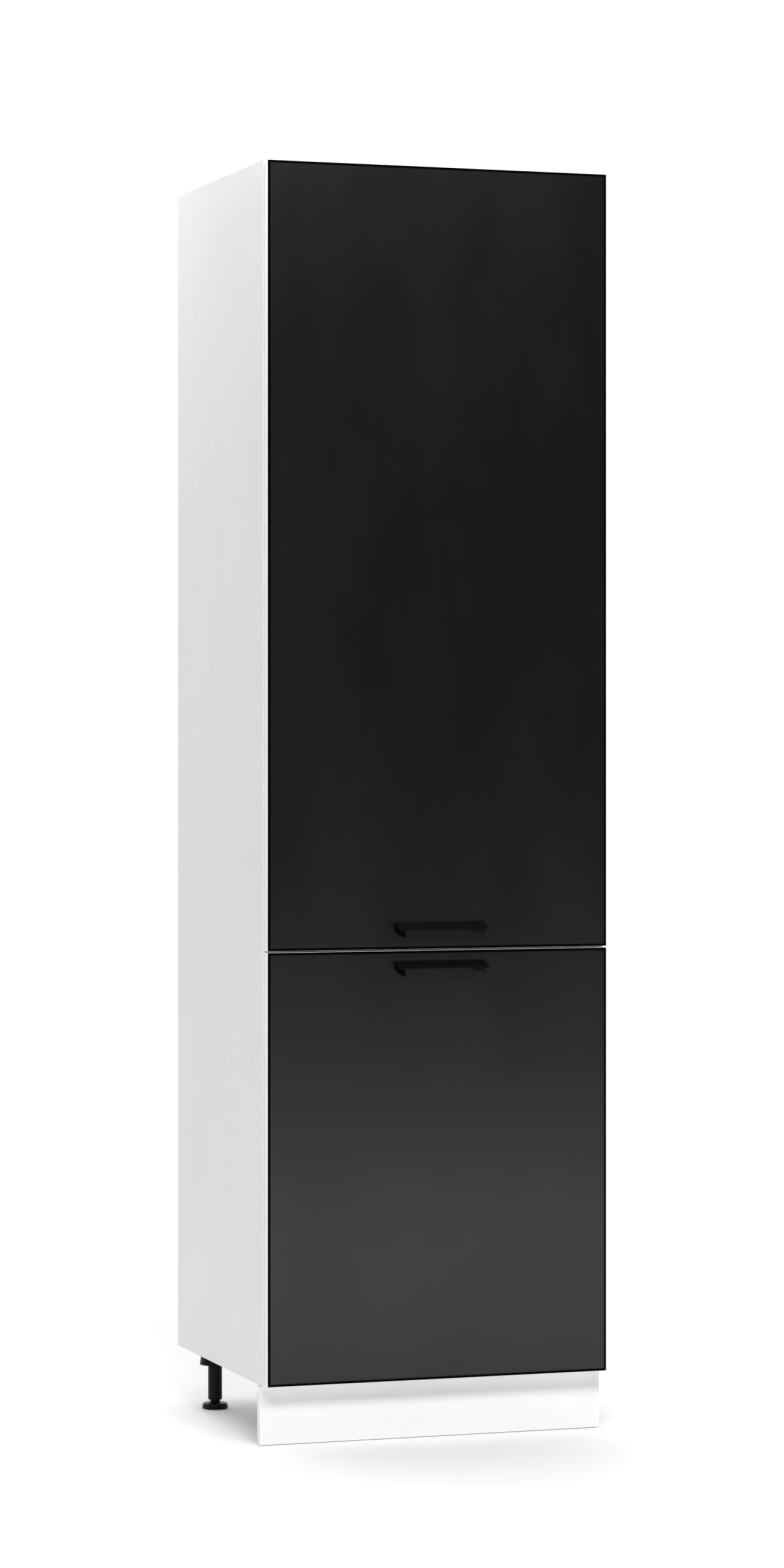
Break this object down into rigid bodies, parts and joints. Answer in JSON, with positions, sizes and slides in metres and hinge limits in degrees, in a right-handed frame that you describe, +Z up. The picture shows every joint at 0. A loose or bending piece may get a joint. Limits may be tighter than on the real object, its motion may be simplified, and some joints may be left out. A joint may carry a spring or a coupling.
{
  "type": "tall storage cabinet with doors",
  "caption": "Tall white storage cabinet on levelling legs, with matt black hinged doors one above the other, slim black handles, loose shelves and a plinth.",
  "frame": {"origin": "middle of the footprint on the floor, handles included", "axes": "+Z up, +X to the right seen from the front, the doors face -Y"},
  "size_m": [0.6, 0.5634, 2.12],
  "materials": {
    "white_board": "satin white melamine on particle board",
    "black_facing": "matt black door facing",
    "black_metal": "matt black powder coat",
    "white_fibreboard": "white painted fibreboard",
    "black_plastic": "black moulded plastic",
    "white_plastic": "white extruded plastic",
    "beech": "plain beech",
    "zinc": "zinc plated",
    "bright_steel": "bright steel",
    "nickel_steel": "nickel plated",
    "clear_bumper": "soft clear dots"
  },
  "bodies": {
    "carcass": {"back_joint_strip": "white_plastic", "bottom_panel": "white_board", "cam_bolts": "bright_steel", "cam_locks": "zinc", "hinge_arm_screws": "bright_steel", "hinge_plate_screws": "bright_steel", "left_side_panel": "white_board", "leg_socket_front_left": "black_plastic", "leg_socket_front_right": "black_plastic", "leg_socket_rear_left": "black_plastic", "leg_socket_rear_right": "black_plastic", "leg_socket_screws": "bright_steel", "leg_tube_front_left": "black_plastic", "leg_tube_front_right": "black_plastic", "leg_tube_rear_left": "black_plastic", "leg_tube_rear_right": "black_plastic", "lower_back_panel": "white_fibreboard", "lower_hinge_arms": "nickel_steel", "lower_hinge_plates": "nickel_steel", "lower_shelf_1": "white_board", "middle_shelf_fixed": "white_board", "plinth_board": "white_board", "plinth_clip_left": "black_plastic", "plinth_clip_right": "black_plastic", "plinth_clip_screws": "bright_steel", "right_side_panel": "white_board", "shelf_pins": "bright_steel", "top_panel": "white_board", "upper_back_panel": "white_fibreboard", "upper_hinge_arms": "nickel_steel", "upper_hinge_plates": "nickel_steel", "upper_shelf_1": "white_board", "upper_shelf_2": "white_board", "upper_shelf_3": "white_board", "wall_bracket_left": "zinc", "wall_bracket_right": "zinc", "wall_bracket_screws": "bright_steel", "wooden_dowels": "beech"},
    "upper_door": {"upper_cup_screws": "bright_steel", "upper_door_board": "white_board", "upper_door_bumpers": "clear_bumper", "upper_door_facing": "black_facing", "upper_handle": "black_metal", "upper_handle_screws": "bright_steel", "upper_hinge_cups": "nickel_steel", "upper_hinge_pins": "nickel_steel"},
    "lower_door": {"lower_cup_screws": "bright_steel", "lower_door_board": "white_board", "lower_door_bumpers": "clear_bumper", "lower_door_facing": "black_facing", "lower_handle": "black_metal", "lower_handle_screws": "bright_steel", "lower_hinge_cups": "nickel_steel", "lower_hinge_pins": "nickel_steel"},
    "front_left_foot": {"foot_front_left": "black_plastic"},
    "front_right_foot": {"foot_front_right": "black_plastic"},
    "rear_left_foot": {"foot_rear_left": "black_plastic"},
    "rear_right_foot": {"foot_rear_right": "black_plastic"}
  },
  "joints": [
    {"name": "upper_door_swing", "type": "hinge", "parent": "carcass", "child": "upper_door", "pos_m": [0.2915, -0.24625, 1.468], "axis": [0, 0, 1], "range_deg": [0, 95]},
    {"name": "lower_door_swing", "type": "hinge", "parent": "carcass", "child": "lower_door", "pos_m": [0.2915, -0.24625, 0.4585], "axis": [0, 0, 1], "range_deg": [0, 95]},
    {"name": "front_left_foot_levelling", "type": "slide", "parent": "carcass", "child": "front_left_foot", "axis": [0, 0, -1], "range_m": [-0.005, 0.02]},
    {"name": "front_right_foot_levelling", "type": "slide", "parent": "carcass", "child": "front_right_foot", "axis": [0, 0, -1], "range_m": [-0.005, 0.02]},
    {"name": "rear_left_foot_levelling", "type": "slide", "parent": "carcass", "child": "rear_left_foot", "axis": [0, 0, -1], "range_m": [-0.005, 0.02]},
    {"name": "rear_right_foot_levelling", "type": "slide", "parent": "carcass", "child": "rear_right_foot", "axis": [0, 0, -1], "range_m": [-0.005, 0.02]}
  ]
}
